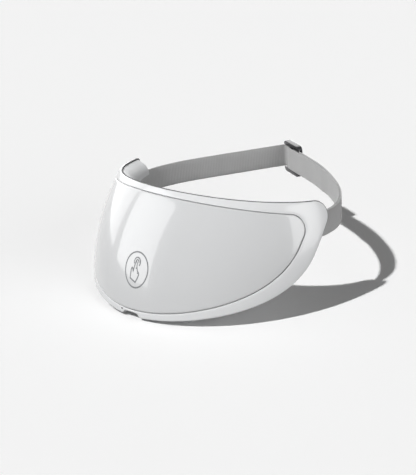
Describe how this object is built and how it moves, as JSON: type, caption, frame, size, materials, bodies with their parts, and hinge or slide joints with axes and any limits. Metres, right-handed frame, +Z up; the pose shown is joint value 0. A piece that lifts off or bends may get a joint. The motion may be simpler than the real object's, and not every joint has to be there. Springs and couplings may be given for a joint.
{
  "type": "led neck device",
  "caption": "D-shaped LED shell that wraps the front of the neck, with a touch panel, a silicone rest and an elastic strap with a sliding adjuster.",
  "frame": {"origin": "centre of the bounding box in plan, on the surface that the rest pad stands on", "axes": "+Z is up, the front panel faces -Y, and the adjuster's end of the band is on the -X side"},
  "size_m": [0.1668, 0.1864, 0.0741],
  "materials": {
    "cover_white": "glossy moulded white",
    "panel_white": "high gloss white",
    "seal_grey": "matt",
    "inner_white": "satin, slightly translucent",
    "smoked": "smoked",
    "led_package": "moulded package",
    "copper": "bare metal",
    "board_green": "solder mask",
    "chip_black": "moulded epoxy",
    "steel": "plain",
    "cell_foil": "laminated foil",
    "foam": "soft foam",
    "carrier_white": "matt",
    "flex_board": "polyimide film",
    "elastic": "ribbed elastic webbing",
    "gunmetal": "satin",
    "silicone": "satin silicone"
  },
  "bodies": {
    "device": {"front_cover": "cover_white", "front_panel": "panel_white", "rim_seal": "seal_grey", "inner_cover": "inner_white", "status_light": "smoked", "status_led": "led_package", "touch_electrode": "copper", "touch_spring": "copper", "main_board": "board_green", "main_chips": "chip_black", "board_screws": "steel", "usb_shell": "steel", "usb_tongue": "chip_black", "battery_left": "cell_foil", "battery_right": "cell_foil", "battery_pad_left": "foam", "battery_pad_right": "foam", "led_carrier": "carrier_white", "led_strip_1": "flex_board", "led_strip_2": "flex_board", "led_strip_3": "flex_board", "led_strip_4": "flex_board", "led_strip_5": "flex_board", "leds_1": "led_package", "leds_2": "led_package", "leds_3": "led_package", "leds_4": "led_package", "leds_5": "led_package", "strap_bracket_left": "steel", "strap_bracket_right": "steel", "bracket_screws": "steel", "strap_pin_left": "steel", "strap_pin_right": "steel", "strap": "elastic", "strap_tab": "elastic", "strap_return": "elastic", "rest_pad": "silicone"},
    "adjuster": {"adjuster": "gunmetal"}
  },
  "joints": [
    {"name": "adjuster_slide", "type": "slide", "parent": "device", "child": "adjuster", "axis": [0.9103, -0.414, 0], "range_m": [0, 0.026]}
  ]
}
